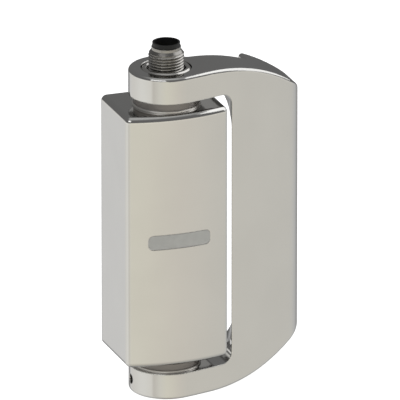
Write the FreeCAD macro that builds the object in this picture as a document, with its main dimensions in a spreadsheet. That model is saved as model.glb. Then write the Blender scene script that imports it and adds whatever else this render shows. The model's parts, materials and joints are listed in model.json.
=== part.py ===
import FreeCAD, Part
import math
import os
import re
import Sketcher
from FreeCAD import Placement, Rotation, Vector

# Safety hinge switch: a stainless box-shaped switch body that is screwed to a
# guard frame from behind, and a C-shaped hinge arm that carries the guard door
# and turns about a vertical pivot at the front of the body.
# Millimetres. +Z up, +X towards the arm's web, +Y into the mounting wall.
# The origin is the centre of the body's rear screw pattern, on the mounting
# plane. Each piece is drawn about the pivot axis, which stands axis_depth in
# front of that plane.

doc = FreeCAD.newDocument("SafetyHingeSwitch")
# Driving dimensions in millimetres, angles in degrees
SIZES = [
    # Hinge arm
    ("axis_depth", 15.2, "pivot axis to mounting plane"),
    ("arm_gap", 3.5, "between each bar of the arm and the body"),
    ("bar_thick", 9.1, "each bar of the arm, and its pivot eye"),
    ("eye_land", 1.75, "eye of each bar past the bearing's flange"),
    ("arm_reach", 49.5, "pivot axis to the arm's outer flank"),
    ("bow_radius", 208, "long bow of the arm's front, seen from above"),
    ("nose_radius", 9, "front outer corner, seen from above"),
    ("flank_start", 9.1, "outer flank starts this far behind the axis"),
    ("bar_rear", 7.9, "rear side of each bar, behind the axis"),
    ("leg_step", 10.3, "from the web's front edge to the leg's inner side"),
    ("hook_radius", 1.5, "hollow corners from eye to bar and from bar to leg"),
    ("flat_run", 12, "level part of the top, past the axis"),
    ("shoulder_radius", 56, "arc from the level top down to the flank"),
    ("end_radius", 9, "smaller arc that ends the shoulder"),
    ("end_over", 0.6, "that arc would turn upright this far past the flank"),
    ("web_gap", 2.5, "between the body's side and the web's front edge"),
    ("window_radius", 4, "corners of the arm's window"),
    ("relief_front", 7.4, "swing relief starts this far before the axis"),
    ("relief_over", 1.3, "its plane would meet the leg this far behind the wall"),
    ("relief_radius", 12.2, "run-out of the swing relief"),
    ("swing_gap", 0.3, "between the body's corners and the arm as it swings past"),
    ("edge_round", 1.2, "outer edges of the arm"),
    ("relief_skim", 0.001, "keeps the relief clear of the window's own face"),
    ("cut_over", 1, "cutters run this far past a face"),
    ("drill_point", 118, "point angle of the drills"),
    ("sunk_angle", 90, "angle of the countersinks"),
    ("clear_angle", 12, "faces that meet at more than this have a corner"),
    # Switch body
    ("body_width", 36, "switch body, side to side"),
    ("body_height", 88.8, "switch body, top to bottom"),
    ("body_front", 10.9, "front corners of the body, before the axis"),
    ("body_crown", 3, "rise of the bowed front over its corners"),
    ("body_round", 2, "outer edges of the body"),
    ("rear_round", 1.2, "edges of the body's rear face"),
    ("side_wall", 6, "body beside the hollow for the electronics"),
    ("end_wall", 13.4, "body above and below that hollow"),
    ("cavity_radius", 3, "corners of that hollow"),
    ("front_wall", 4, "wall behind the crown of the front"),
    ("shelf_side", 4.3, "rear cover past the hollow, at each side"),
    ("shelf_end", 4.5, "rear cover past the hollow, above and below"),
    ("cover_radius", 2.5, "corners of the rear cover"),
    ("cover_thick", 2, "rear cover"),
    ("cover_sink", 0.2, "cover lies below the mounting plane"),
    ("gasket_thick", 0.8, "flat seal under the cover"),
    ("lid_gap", 0.15, "around the cover"),
    ("cover_screw_dia", 2, "cover screws"),
    ("cover_head_dia", 3.6, "countersunk heads"),
    ("cover_screw_length", 6, "cover screws, over the head"),
    ("screw_inset_side", 2.2, "cover screws to the cover's sides"),
    ("screw_inset_end", 2.3, "cover screws to the cover's ends"),
    ("small_socket", 1.3, "hexagon sockets of the small screws, across flats"),
    ("small_socket_depth", 0.9, "hexagon sockets of the small screws"),
    ("hole_gap", 0.05, "round a screw in its thread or a part in its seat"),
    # Mounting threads
    ("mount_core", 4.2, "core of each mounting thread"),
    ("mount_depth", 9, "drilled depth of each mounting thread"),
    ("body_mount_inset", 5.5, "body threads to the body's sides"),
    ("body_mount_clear", 4.3, "body threads past the ends of the cover"),
    ("arm_mount_inset", 9.4, "arm threads to the leg's inner side"),
    ("arm_mount_pitch", 24, "arm threads, up the leg"),
    # Window for the status lamps
    ("lens_inset", 1.1, "status window to the sides of the hollow behind it"),
    ("lens_height", 4.8, "status window"),
    ("lens_radius", 1.8, "status window corners"),
    ("lens_flange", 0.8, "lip inside the front wall"),
    ("lens_lip", 1, "lip past the window's opening, above and below"),
    # Upper pivot: hollow sleeve fixed in the body, bush in the arm
    ("sleeve_wall", 1.85, "pivot sleeve in the arm's eye, round its mouth"),
    ("sleeve_proud", 0.2, "sleeve stands over the arm"),
    ("mouth_gap", 0.5, "round the plug thread in the sleeve's wide mouth"),
    ("mouth_depth", 11, "depth of that mouth"),
    ("sleeve_bevel", 0.7, "bevels of the sleeve's rim"),
    ("mouth_bevel", 0.4, "bevel of the mouth"),
    ("sleeve_seat", 3, "full-size end of the sleeve, let into the body"),
    ("seal_play", 0.45, "room beside the seal under the sleeve's shoulder"),
    ("thread_wall", 1.45, "lower, threaded end of the sleeve"),
    ("nut_wall", 1.8, "lock nut inside the body, round its thread"),
    ("nut_height", 3.2, "lock nut"),
    ("nut_slots", 4, "spanner slots round the lock nut"),
    ("nut_slot", 2.5, "width of a spanner slot"),
    ("nut_slot_depth", 1, "depth of a spanner slot"),
    ("nut_clear", 1.2, "sleeve thread past the nut"),
    ("seal_wire", 0.9, "round section of the static seals"),
    ("run_gap", 0.05, "running clearance of each bearing, on the radius"),
    ("bush_wall", 1, "wall of each bearing bush"),
    ("flange_thick", 0.5, "flange of each bush"),
    ("flange_land", 1.55, "flange of each bush past the upper bush's seat"),
    ("face_gap", 0.1, "running clearance between flange and collar"),
    ("foot_step", 0.6, "foot of each collar, past its wall"),
    ("foot_height", 0.7, "foot of each collar"),
    ("foot_bevel", 0.25, "bevel round that foot"),
    ("lip_height", 0.8, "lip over the upper seal"),
    ("lip_gap", 0.25, "round the sleeve under that lip"),
    ("seal_room", 1.1, "height of the upper seal's groove"),
    # Plug connector
    ("plug_dia", 12, "outside of the plug thread"),
    ("plug_thread", 4.8, "thread that stands over the sleeve"),
    ("neck_step", 0.2, "shell below the thread, smaller all round"),
    ("plug_lead", 1.4, "lead-in cone of the thread"),
    ("plug_rim", 0.25, "wall of the smooth rim over that cone"),
    ("plug_tip", 1.1, "height of that rim"),
    ("plug_flange", 2, "thickness of the shell's flange in the sleeve's mouth"),
    ("shell_wall", 0.8, "shell in the sleeve's bore"),
    ("insert_proud", 0.2, "carrier past the shell's lower end"),
    ("insert_top", 8.65, "carrier over the sleeve"),
    ("insert_length", 27.85, "contact carrier"),
    ("cup_wall", 0.6, "carrier round the hollow for the contacts"),
    ("cup_depth", 9.5, "hollow round the contacts"),
    ("key_width", 1.2, "coding key inside the hollow"),
    ("key_depth", 0.7, "coding key inside the hollow"),
    ("key_root", 0.2, "key let into the hollow's wall"),
    ("key_sink", 1.4, "key below the carrier's rim"),
    ("pin_dia", 0.8, "contact pins"),
    ("pin_inset", 1.3, "ring of contact pins to the hollow's wall"),
    ("pin_ring_count", 7, "contact pins on the ring"),
    ("pin_sink", 3, "pin tips below the carrier's rim"),
    ("pin_tail", 2.6, "pins below the carrier"),
    ("board_thick", 1.6, "all circuit boards"),
    # Lower pivot: pin fixed in the arm, bush in the body
    ("pivot_dia", 10, "pivot pin"),
    ("pivot_sink", 0.5, "pin end below the arm's underside"),
    ("pivot_slot", 1.4, "setting slot in the pin's end"),
    ("slot_depth", 1.6, "setting slot in the pin's end"),
    ("pin_chamfer", 0.4, "pin ends"),
    ("sense_wall", 1.2, "closed wall between pin and electronics"),
    ("pin_end_gap", 0.4, "over the pin's top end"),
    ("bush_clear", 0.25, "between the lower bush and the pin's seal groove"),
    ("seal_gap", 0.1, "round each running seal"),
    ("groove_depth", 1, "seal groove in the pin"),
    ("groove_width", 1.5, "seal groove in the pin"),
    ("well_gap", 0.4, "round the pin above its bush"),
    ("groove_drop", 2.8, "top of the pin to that groove's middle"),
    ("magnet_dia", 6, "actuating magnet"),
    ("magnet_height", 2, "actuating magnet"),
    ("set_core", 3.3, "set screw and its hole, at the thread's core"),
    ("set_length", 5, "set screw"),
    ("set_socket", 1.5, "hexagon socket across flats"),
    ("set_socket_depth", 1.8, "hexagon socket"),
    # Electronics
    ("board_side", 0.5, "main board to the hollow's sides"),
    ("board_above", 9, "main board to the hollow's upper end"),
    ("board_below", 2.1, "main board to the hollow's lower end"),
    ("post_height", 2.8, "posts under the main board"),
    ("post_dia", 4.4, "posts under the main board"),
    ("post_inset", 2.3, "posts to the board's sides"),
    ("post_end", 13, "posts to the hollow's ends"),
    ("board_screw_dia", 2, "board screws"),
    ("board_head_dia", 3.6, "board screw heads"),
    ("board_head", 1.3, "board screw heads"),
    ("board_screw_length", 4.4, "board screws under the head"),
    ("lamp_width", 3, "status lamp"),
    ("lamp_height", 2, "status lamp"),
    ("lamp_depth", 1.5, "status lamp"),
    ("lamp_pitch", 6, "status lamps"),
    ("chip_side", 7, "logic chips"),
    ("chip_thick", 1, "logic chips"),
    ("chip_lift", 9, "logic chips, above and below the middle"),
    ("sense_side", 3.6, "angle sensor chips"),
    ("sense_thick", 0.9, "angle sensor chips"),
    ("sense_pitch", 4.6, "angle sensor chips"),
    ("sense_board_side", 1.5, "angle sensor board to the hollow's sides"),
    ("sense_board_depth", 12, "angle sensor board"),
    ("socket_width", 9, "cable socket"),
    ("socket_height", 3, "cable socket"),
    ("socket_depth", 2.5, "cable socket"),
    ("socket_drop", 6, "top of the main board to the cable socket's middle"),
    ("ribbon_width", 6, "ribbon cable"),
    ("ribbon_thick", 0.4, "ribbon cable"),
    ("ribbon_back", 3.6, "ribbon cable behind the axis"),
    ("ribbon_bend", 3, "inner bend of the ribbon cable"),
]
# Sizes that follow from those, so that pieces which fit stay together
FITTED = {
    # Plug, sleeve and bearing, from the plug thread outwards and inwards
    "plug_neck": "plug_dia - 2 * neck_step",
    "sleeve_mouth": "plug_dia + 2 * mouth_gap",
    "flange_dia": "sleeve_mouth - 4 * hole_gap",
    "sleeve_dia": "sleeve_mouth + 2 * sleeve_wall",
    "sleeve_thread_dia": "sleeve_dia - 2 * seal_wire - 2 * seal_play",
    "sleeve_bore": "sleeve_thread_dia - 2 * thread_wall",
    "nut_dia": "sleeve_thread_dia + 2 * nut_wall",
    "insert_dia": "sleeve_bore - 2 * shell_wall - 4 * hole_gap",
    "cup_dia": "insert_dia - 2 * cup_wall",
    "pin_circle": "cup_dia - 2 * pin_inset",
    "plug_board_dia": "insert_dia - 2 * hole_gap",
    "collar_dia": "sleeve_dia + 2 * (run_gap + bush_wall + hole_gap + flange_land)",
    "foot_dia": "collar_dia + 2 * foot_step",
    # Arm round the body
    "eye_dia": "collar_dia + 2 * eye_land",
    "arm_height": "body_height + 2 * arm_gap + 2 * bar_thick",
    "web_side": "body_width / 2 + web_gap",
    "hook_side": "web_side + leg_step",
    "arm_mount_side": "hook_side + arm_mount_inset",
    "end_reach": "arm_reach + end_over",
    "relief_back": "axis_depth + relief_over",
    # Hollow of the body, and what fits in it or over it
    "cavity_width": "body_width - 2 * side_wall",
    "cavity_height": "body_height - 2 * end_wall",
    "cavity_bend": "min(cavity_radius; (cavity_width - nut_dia) / 2 - hole_gap)",
    "cover_width": "cavity_width + 2 * shelf_side",
    "cover_height": "cavity_height + 2 * shelf_end",
    "cover_screw_across": "cover_width - 2 * screw_inset_side",
    "cover_screw_span": "cover_height - 2 * screw_inset_end",
    "body_mount_across": "body_width - 2 * body_mount_inset",
    "body_mount_span": "cover_height + 2 * body_mount_clear",
    "lens_width": "cavity_width - 2 * lens_inset",
    "board_width": "cavity_width - 2 * board_side",
    "board_top": "cavity_height / 2 - board_above",
    "board_drop": "cavity_height / 2 - board_below",
    "socket_lift": "board_top - socket_drop",
    "sense_board_width": "cavity_width - 2 * sense_board_side",
    "post_across": "board_width - 2 * post_inset",
    "post_span": "cavity_height - 2 * post_end",
}
sheet = doc.addObject("Spreadsheet::Sheet", "Sizes")
for row, (alias, number, note) in enumerate(SIZES, 1):
    sheet.set("A%d" % row, alias)
    sheet.set("B%d" % row, str(number))
    sheet.set("C%d" % row, note)
    sheet.setAlias("B%d" % row, alias)
names = {alias for alias, number, note in SIZES}
doc.recompute()


def reference(found):
    """A size name as a reference to the sheet; a fitted one as its own expression."""
    word = found.group()
    if word in FITTED:
        return "(" + formula(FITTED[word]) + ")"
    return "Sizes." + word if word in names else word


def formula(words):
    """Turn size names in an expression into references to the sheet."""
    return re.sub(r"[a-z]\w+", reference, words)


def amount(words):
    """The present number of an expression in size names."""
    return float(sheet.evalExpression(formula(words)))


def bind(thing, prop, words):
    """Tie a property to an expression in size names."""
    thing.setExpression(prop, formula(words))


# Places that several pieces share, as expressions in size names
ARM_TOP = "arm_height / 2"
BAR_IN = "(arm_height / 2 - bar_thick)"
BODY_TOP = "(body_height / 2)"
BODY_REAR = "axis_depth"
CROWN = "(body_front + body_crown)"
CAVITY_FRONT = "(body_front + body_crown - front_wall)"
CAVITY_TOP = "(cavity_height / 2)"
SLEEVE_TOP = "(arm_height / 2 + sleeve_proud)"
SLEEVE_STEP = "(body_height / 2 - sleeve_seat)"
SLEEVE_END = "(cavity_height / 2 - nut_height - nut_clear)"
MOUTH_FLOOR = "(arm_height / 2 + sleeve_proud - mouth_depth)"
SHELL_FLANGE = "(arm_height / 2 + sleeve_proud - mouth_depth + seal_wire)"
INSERT_TOP = "(arm_height / 2 + sleeve_proud + insert_top)"
INSERT_END = "(arm_height / 2 + sleeve_proud + insert_top - insert_length)"
SHELL_END = "(arm_height / 2 + sleeve_proud + insert_top - insert_length + insert_proud)"
PIN_TOP = "(-cavity_height / 2 - sense_wall - pin_end_gap)"
PIN_BORE_TOP = "(-cavity_height / 2 - sense_wall)"
UPPER_FLANGE = "(arm_height / 2 - bar_thick - flange_thick)"
UPPER_BUSH_TOP = "(arm_height / 2 - lip_height - seal_room)"
UPPER_SEAL_WIRE = "(run_gap + bush_wall + hole_gap - seal_gap)"
LIP_UNDER = "(arm_height / 2 - lip_height)"
LIP_BORE = "(sleeve_dia / 2 + lip_gap)"
SLEEVE_RUN = "(sleeve_dia / 2 + run_gap)"
PIVOT_RUN = "(pivot_dia / 2 + run_gap)"
BUSH_OUT = "(sleeve_dia / 2 + run_gap + bush_wall + hole_gap)"
LOWER_BUSH_HOLE = "(pivot_dia / 2 + run_gap + bush_wall + hole_gap)"
PIVOT_HOLE = "(pivot_dia / 2 + hole_gap)"
THREAD_HOLE = "(sleeve_thread_dia / 2 + hole_gap)"
SEAL_SEAT = "(body_height / 2 - sleeve_seat - seal_wire)"
SPIGOT = "(sleeve_bore / 2 - hole_gap)"
CUP_FLOOR = "(arm_height / 2 + sleeve_proud + insert_top - cup_depth)"
PIN_TIP = "(arm_height / 2 + sleeve_proud + insert_top - pin_sink)"
PIN_FOOT = "(arm_height / 2 + sleeve_proud + insert_top - insert_length - pin_tail)"
PLUG_BOARD_UNDER = "(arm_height / 2 + sleeve_proud + insert_top - insert_length - board_thick)"
PIN_LOW = "(-arm_height / 2 + pivot_sink)"
GROOVE_LOW = "(-cavity_height / 2 - sense_wall - pin_end_gap - groove_drop - groove_width / 2)"
GROOVE_HIGH = "(-cavity_height / 2 - sense_wall - pin_end_gap - groove_drop + groove_width / 2)"
BUSH_END = "(" + GROOVE_LOW + " - bush_clear)"
PIN_SEAL_WIRE = "(groove_depth + well_gap - seal_gap)"
SET_LEVEL = "(bar_thick / 2 - arm_height / 2)"
SWING_REACH = "(sqrt((body_width / 2) ^ 2 + body_front ^ 2) + swing_gap)"
CROWN_RADIUS = "(((body_width / 2) ^ 2 + body_crown ^ 2) / (2 * body_crown))"
THROUGH = "4 * arm_reach"
FLANGE_EDGE = "collar_dia / 2"
BOARD_FACE = "(body_front + body_crown - front_wall - post_height)"
BOARD_REAR = "(body_front + body_crown - front_wall - post_height - board_thick)"
SHELF = "(axis_depth - cover_sink - cover_thick - gasket_thick)"
COVER_FACE = "(axis_depth - cover_sink)"
# Board posts and cover screws, side to side and up
POSTS = [(across, up) for across in ("-post_across / 2", "post_across / 2")
         for up in ("-post_span / 2", "post_span / 2")]
COVER_SCREWS = [(across, up) for across in ("-cover_screw_across / 2", "cover_screw_across / 2")
                for up in ("-cover_screw_span / 2", "0", "cover_screw_span / 2")]
TURN_TO_REAR = Rotation(Vector(1, 0, 0), -90)


def body(label):
    """An empty body whose own Z axis is the pivot axis."""
    made = doc.addObject("PartDesign::Body", label)
    made.Label = label
    bind(made, "Placement.Base.y", "-axis_depth")
    return made


def origin_part(owner, role):
    """One of a body's own origin planes or axes."""
    return [part for part in owner.Origin.OriginFeatures if part.Role == role][0]


def sketch_on(owner, name, role, lift="0"):
    """A sketch on one of the body's own origin planes, lifted along its normal."""
    made = owner.newObject("Sketcher::SketchObject", name)
    made.AttachmentSupport = (origin_part(owner, role), [""])
    made.MapMode = "FlatFace"
    if lift != "0":
        bind(made, "AttachmentOffset.Base.z", lift)
    return made


def fix(sketch, kind, number, *places):
    """Add a constraint with a size and bind it to an expression."""
    index = sketch.addConstraint(Sketcher.Constraint(kind, *places, amount(number)))
    name = "%s%d" % (kind.lower(), index)
    sketch.renameConstraint(index, name)
    bind(sketch, "Constraints." + name, number)


def place(sketch, element, end, across, up):
    """Hold a point of a sketch at the given distances from its origin."""
    for kind, axis, number in (("DistanceX", -2, across), ("DistanceY", -1, up)):
        if number == "0":
            sketch.addConstraint(Sketcher.Constraint("PointOnObject", element, end, axis))
        else:
            fix(sketch, kind, number, -1, 1, element, end)


def outline(sketch, corners):
    """Draw a closed straight-sided outline through corners given as expressions."""
    points = [Vector(amount(across), amount(up), 0) for across, up in corners]
    first = sketch.GeometryCount
    count = len(points)
    for step in range(count):
        sketch.addGeometry(Part.LineSegment(points[step], points[(step + 1) % count]), False)
    for step in range(count):
        following = first + (step + 1) % count
        sketch.addConstraint(Sketcher.Constraint("Coincident", first + step, 2, following, 1))
    for step, (across, up) in enumerate(corners):
        place(sketch, first + step, 1, across, up)


def circle(sketch, across, up, diameter):
    """Draw a circle at a place and of a diameter given as expressions."""
    middle = Vector(amount(across), amount(up), 0)
    ring = sketch.addGeometry(Part.Circle(middle, Vector(0, 0, 1), amount(diameter) / 2), False)
    place(sketch, ring, 3, across, up)
    fix(sketch, "Diameter", diameter, ring)


def rounded_slot(sketch, half_width, half_height, radius):
    """Draw a rectangle with round corners about the sketch's origin."""
    wide, high, bend = amount(half_width), amount(half_height), amount(radius)
    arcs = []
    for turn, (side, level) in enumerate(((1, 1), (-1, 1), (-1, -1), (1, -1))):
        middle = Vector(side * (wide - bend), level * (high - bend), 0)
        ring = Part.Circle(middle, Vector(0, 0, 1), bend)
        start = turn * math.pi / 2
        arcs.append(sketch.addGeometry(Part.ArcOfCircle(ring, start, start + math.pi / 2), False))
    sides = []
    for turn in range(4):
        one = sketch.Geometry[arcs[turn]].EndPoint
        two = sketch.Geometry[arcs[(turn + 1) % 4]].StartPoint
        sides.append(sketch.addGeometry(Part.LineSegment(one, two), False))
    for turn in range(4):
        sketch.addConstraint(Sketcher.Constraint("Tangent", arcs[turn], 2, sides[turn], 1))
        sketch.addConstraint(Sketcher.Constraint("Tangent", sides[turn], 2, arcs[(turn + 1) % 4], 1))
    for turn in range(3):
        sketch.addConstraint(Sketcher.Constraint("Equal", arcs[turn], arcs[turn + 1]))
    for turn, kind in enumerate(("Horizontal", "Vertical", "Horizontal", "Vertical")):
        sketch.addConstraint(Sketcher.Constraint(kind, sides[turn]))
    fix(sketch, "Radius", radius, arcs[0])
    fix(sketch, "DistanceX", half_width, -1, 1, sides[3], 1)
    fix(sketch, "DistanceX", "-" + half_width, -1, 1, sides[1], 1)
    fix(sketch, "DistanceY", half_height, -1, 1, sides[0], 1)
    fix(sketch, "DistanceY", "-" + half_height, -1, 1, sides[2], 1)


def pad(owner, sketch, name, length, symmetric=True, reverse=False):
    """Raise a sketch into a solid."""
    made = owner.newObject("PartDesign::Pad", name)
    made.Profile = sketch
    made.SideType = "Symmetric" if symmetric else "One side"
    made.Reversed = reverse
    bind(made, "Length", length)
    doc.recompute()
    return made


def pocket(owner, sketch, name, length, symmetric=True, reverse=False):
    """Cut a sketch out of the body, and make sure that something was cut."""
    before = owner.Shape.Volume
    made = owner.newObject("PartDesign::Pocket", name)
    made.Profile = sketch
    made.SideType = "Symmetric" if symmetric else "One side"
    made.Reversed = reverse
    bind(made, "Length", length)
    doc.recompute()
    check_cut(owner, made, before)
    return made


def drill(owner, sketch, name, diameter, depth):
    """Drill blind holes at a sketch's circles, from the rear of the part forwards."""
    before = owner.Shape.Volume
    made = owner.newObject("PartDesign::Hole", name)
    made.Profile = sketch
    doc.recompute()
    made.Threaded = False
    made.DepthType = "Dimension"
    made.DrillPoint = "Angled"
    bind(made, "DrillPointAngle", "drill_point")
    made.Reversed = True
    bind(made, "Diameter", diameter)
    bind(made, "Depth", depth)
    doc.recompute()
    check_cut(owner, made, before)
    return made


def ring_of(owner, name, feature, count):
    """Repeat a cut evenly round the pivot axis."""
    made = owner.newObject("PartDesign::PolarPattern", name)
    made.Originals = [feature]
    made.Axis = (origin_part(owner, "Z_Axis"), [""])
    made.Angle = 360
    bind(made, "Occurrences", count)
    owner.Tip = made
    doc.recompute()
    return made


def check_cut(owner, made, before):
    """Stop if a cut took nothing away."""
    if not owner.Shape.Volume < before - 1e-6:
        raise RuntimeError("%s cuts nothing from %s" % (made.Name, owner.Label))


def turn_up(owner, name, corners):
    """Turn a profile of radius and height pairs into a round piece."""
    profile = sketch_on(owner, name + "Profile", "XZ_Plane")
    outline(profile, corners)
    made = owner.newObject("PartDesign::Revolution", name)
    made.Profile = profile
    made.ReferenceAxis = (profile, ["V_Axis"])
    made.Angle = 360
    doc.recompute()
    return made


def turn_out(owner, name, corners):
    """Bore a profile of radius and height pairs out of a body."""
    before = owner.Shape.Volume
    profile = sketch_on(owner, name + "Profile", "XZ_Plane")
    outline(profile, corners)
    made = owner.newObject("PartDesign::Groove", name)
    made.Profile = profile
    made.ReferenceAxis = (profile, ["V_Axis"])
    made.Angle = 360
    doc.recompute()
    check_cut(owner, made, before)
    return made


def turned(label, corners):
    """A round piece on the pivot axis."""
    made = body(label)
    turn_up(made, label + "Turning", corners)
    return made


def footed_collar(label, bore, low, high):
    """A thrust collar with a low, bevelled foot, from one height to another."""
    return turned(label,
                  [(bore, low), ("foot_dia / 2", low),
                   ("foot_dia / 2", low + " + foot_height - foot_bevel"),
                   ("foot_dia / 2 - foot_bevel", low + " + foot_height"),
                   (FLANGE_EDGE, low + " + foot_height"), (FLANGE_EDGE, high), (bore, high)])


def ring_seal(label, middle_radius, level, wire):
    """A round-section seal ring on the pivot axis."""
    made = body(label)
    section = sketch_on(made, label + "Section", "XZ_Plane")
    circle(section, middle_radius, level, wire)
    sweep = made.newObject("PartDesign::Revolution", label + "Ring")
    sweep.Profile = section
    sweep.ReferenceAxis = (section, ["V_Axis"])
    sweep.Angle = 360
    doc.recompute()
    return made


def block(name, corner, extent):
    """A box from its lowest corner and its three sizes, as expressions about the axis."""
    made = doc.addObject("Part::Box", name)
    for prop, number in zip(("Length", "Width", "Height"), extent):
        bind(made, prop, number)
    bind(made, "Placement.Base.x", corner[0])
    bind(made, "Placement.Base.y", "(" + corner[1] + ") - axis_depth")
    bind(made, "Placement.Base.z", corner[2])
    return made


def group(label, pieces):
    """Like pieces that share one name, each still a solid of its own."""
    made = doc.addObject("Part::Compound", label)
    made.Label = label
    made.Links = pieces
    doc.recompute()
    return made


def copies(label, template, places, turn):
    """Like pieces that share one name, each a copy of a template at its own place."""
    links = []
    for number, (across, back, up) in enumerate(places):
        link = doc.addObject("App::Link", "%s_%d" % (label, number + 1))
        link.LinkedObject = template
        link.Placement = Placement(Vector(), turn)
        bind(link, "Placement.Base.x", across)
        bind(link, "Placement.Base.y", "(" + back + ") - axis_depth")
        bind(link, "Placement.Base.z", up)
        links.append(link)
    return group(label, links)


def edges_where(shape, wanted):
    """Names of the edges of a shape that a test accepts."""
    return ["Edge%d" % (number + 1) for number, edge in enumerate(shape.Edges) if wanted(shape, edge)]


def normals_at(shape, edge):
    """The outward normals of the two faces that meet at an edge's middle."""
    first, last = edge.ParameterRange
    point = edge.valueAt((first + last) / 2)
    found = []
    for face in shape.ancestorsOfType(edge, Part.Face):
        u, v = face.Surface.parameter(point)
        found.append(face.normalAt(u, v))
    return point, found


def is_corner(normals):
    """True where two faces meet at a clear angle."""
    return len(normals) == 2 and normals[0].getAngle(normals[1]) > math.radians(amount("clear_angle"))


def round_edges(owner, name, radius, wanted):
    """Round the edges of a body that a test accepts."""
    base = owner.Tip
    made = owner.newObject("PartDesign::Fillet", name)
    made.Base = (base, edges_where(base.Shape, wanted))
    bind(made, "Radius", radius)
    doc.recompute()
    return made


def draw_arm_plan(sketch):
    """The arm from above: eye, long bow, nose, flank, mounting leg and rear side."""
    eye, bow, nose = amount("eye_dia / 2"), amount("bow_radius"), amount("nose_radius")
    reach, depth, rear = amount("arm_reach"), amount("axis_depth"), amount("bar_rear")
    side, hollow = amount("hook_side"), amount("hook_radius")
    up = Vector(0, 0, 1)
    nose_middle = Vector(reach - nose, amount("flank_start"), 0)
    span = nose_middle.Length
    along = ((bow - eye) ** 2 - (bow - nose) ** 2 + span ** 2) / (2 * span)
    aside = math.sqrt((bow - eye) ** 2 - along ** 2)
    direction = nose_middle / span
    bow_middle = direction * along + Vector(-direction.y, direction.x, 0) * aside
    eye_turn = math.atan2(-bow_middle.y, -bow_middle.x) % (2 * math.pi)
    nose_way = nose_middle - bow_middle
    nose_turn = math.atan2(nose_way.y, nose_way.x) % (2 * math.pi)
    neck_middle = Vector(math.sqrt((eye + hollow) ** 2 - (rear + hollow) ** 2), rear + hollow, 0)
    neck_turn = math.atan2(neck_middle.y, neck_middle.x)
    eye_ring = Part.Circle(Vector(), up, eye)
    eye_arc = sketch.addGeometry(Part.ArcOfCircle(eye_ring, neck_turn, eye_turn), False)
    neck_ring = Part.Circle(neck_middle, up, hollow)
    neck_arc = sketch.addGeometry(
        Part.ArcOfCircle(neck_ring, neck_turn + math.pi, 1.5 * math.pi), False)
    bow_arc = sketch.addGeometry(
        Part.ArcOfCircle(Part.Circle(bow_middle, up, bow), eye_turn, nose_turn), False)
    nose_arc = sketch.addGeometry(
        Part.ArcOfCircle(Part.Circle(nose_middle, up, nose), nose_turn, 2 * math.pi), False)
    corner = Vector(reach, depth, 0)
    flank = sketch.addGeometry(Part.LineSegment(Vector(reach, nose_middle.y, 0), corner), False)
    leg_back = sketch.addGeometry(Part.LineSegment(corner, Vector(side, depth, 0)), False)
    leg_side = sketch.addGeometry(
        Part.LineSegment(Vector(side, depth, 0), Vector(side, rear + hollow, 0)), False)
    hollow_ring = Part.Circle(Vector(side - hollow, rear + hollow, 0), up, hollow)
    hollow_arc = sketch.addGeometry(Part.ArcOfCircle(hollow_ring, -math.pi / 2, 0), False)
    rear_side = sketch.addGeometry(
        Part.LineSegment(Vector(side - hollow, rear, 0), Vector(neck_middle.x, rear, 0)), False)
    for one, end, two, start in ((eye_arc, 2, bow_arc, 1), (bow_arc, 2, nose_arc, 1),
                                 (nose_arc, 2, flank, 1), (leg_side, 2, hollow_arc, 2),
                                 (hollow_arc, 1, rear_side, 1), (rear_side, 2, neck_arc, 2),
                                 (neck_arc, 1, eye_arc, 1)):
        sketch.addConstraint(Sketcher.Constraint("Tangent", one, end, two, start))
    for one, end, two, start in ((eye_arc, 3, -1, 1), (flank, 2, leg_back, 1),
                                 (leg_back, 2, leg_side, 1)):
        sketch.addConstraint(Sketcher.Constraint("Coincident", one, end, two, start))
    for kind, line in (("Vertical", flank), ("Horizontal", leg_back),
                       ("Vertical", leg_side), ("Horizontal", rear_side)):
        sketch.addConstraint(Sketcher.Constraint(kind, line))
    fix(sketch, "Radius", "eye_dia / 2", eye_arc)
    fix(sketch, "Radius", "bow_radius", bow_arc)
    fix(sketch, "Radius", "nose_radius", nose_arc)
    fix(sketch, "Radius", "hook_radius", hollow_arc)
    fix(sketch, "Radius", "hook_radius", neck_arc)
    fix(sketch, "DistanceX", "arm_reach", -1, 1, flank, 1)
    fix(sketch, "DistanceY", "flank_start", -1, 1, flank, 1)
    fix(sketch, "DistanceY", "axis_depth", -1, 1, leg_back, 1)
    fix(sketch, "DistanceX", "hook_side", -1, 1, leg_side, 1)
    fix(sketch, "DistanceY", "bar_rear", -1, 1, rear_side, 1)


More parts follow.
